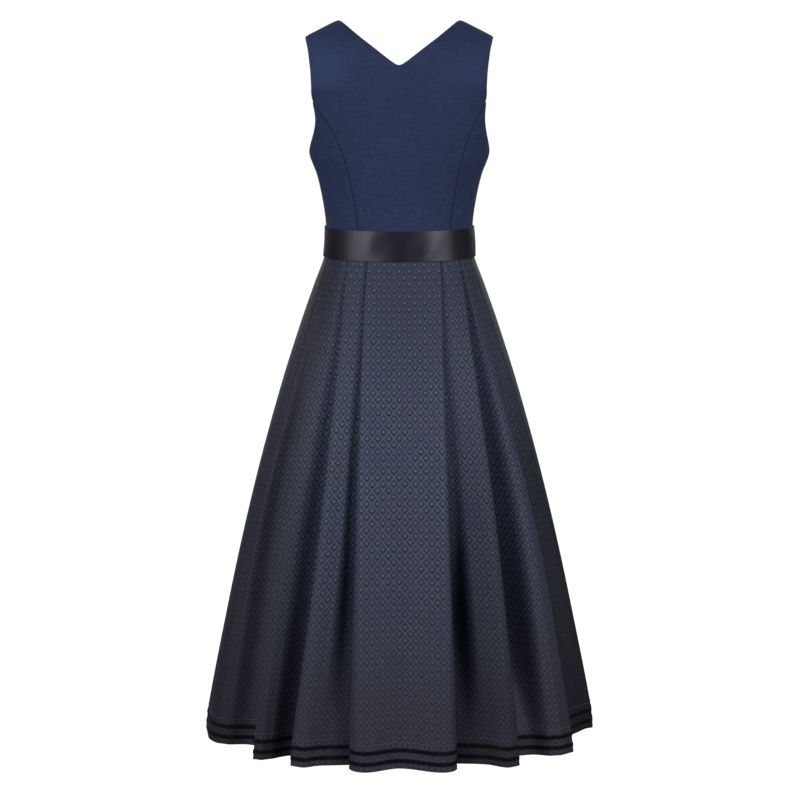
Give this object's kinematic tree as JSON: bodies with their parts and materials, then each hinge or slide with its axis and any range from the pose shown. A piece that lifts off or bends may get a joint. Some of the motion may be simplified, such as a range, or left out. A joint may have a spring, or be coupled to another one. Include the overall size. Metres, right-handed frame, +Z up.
{
  "type": "dirndl",
  "caption": "Sleeveless dirndl with a V-shaped back neckline, satin ribbon belt, pleated midi skirt and narrow velvet ribbons round the hem.",
  "frame": {"origin": "midway between the tops of the two shoulder seams, where the wearer's shoulders hold the garment up", "axes": "+Z up along the body, -Y out of the front of the garment, +X towards the wearer's left"},
  "size_m": [0.6909, 0.5644, 1.2493],
  "materials": {
    "bodice_cloth": "matt navy plain weave",
    "skirt_jacquard": "dark blue-grey jacquard with a small diamond lattice and a soft sheen",
    "velvet_ribbon": "black velvet pile",
    "satin_ribbon": "glossy black satin",
    "button": "polished black"
  },
  "bodies": {
    "root": {"bodice_back": "bodice_cloth", "bodice_side_back_l": "bodice_cloth", "bodice_side_back_r": "bodice_cloth", "bodice_side_front_l": "bodice_cloth", "bodice_side_front_r": "bodice_cloth", "bodice_front_l": "bodice_cloth", "bodice_front_r": "bodice_cloth", "button_1": "button", "button_2": "button", "button_3": "button", "button_4": "button", "button_5": "button", "button_6": "button", "skirt_back": "skirt_jacquard", "skirt_front": "skirt_jacquard", "velvet_upper_back": "velvet_ribbon", "velvet_upper_front": "velvet_ribbon", "velvet_lower_back": "velvet_ribbon", "velvet_lower_front": "velvet_ribbon", "belt": "satin_ribbon"}
  },
  "joints": []
}
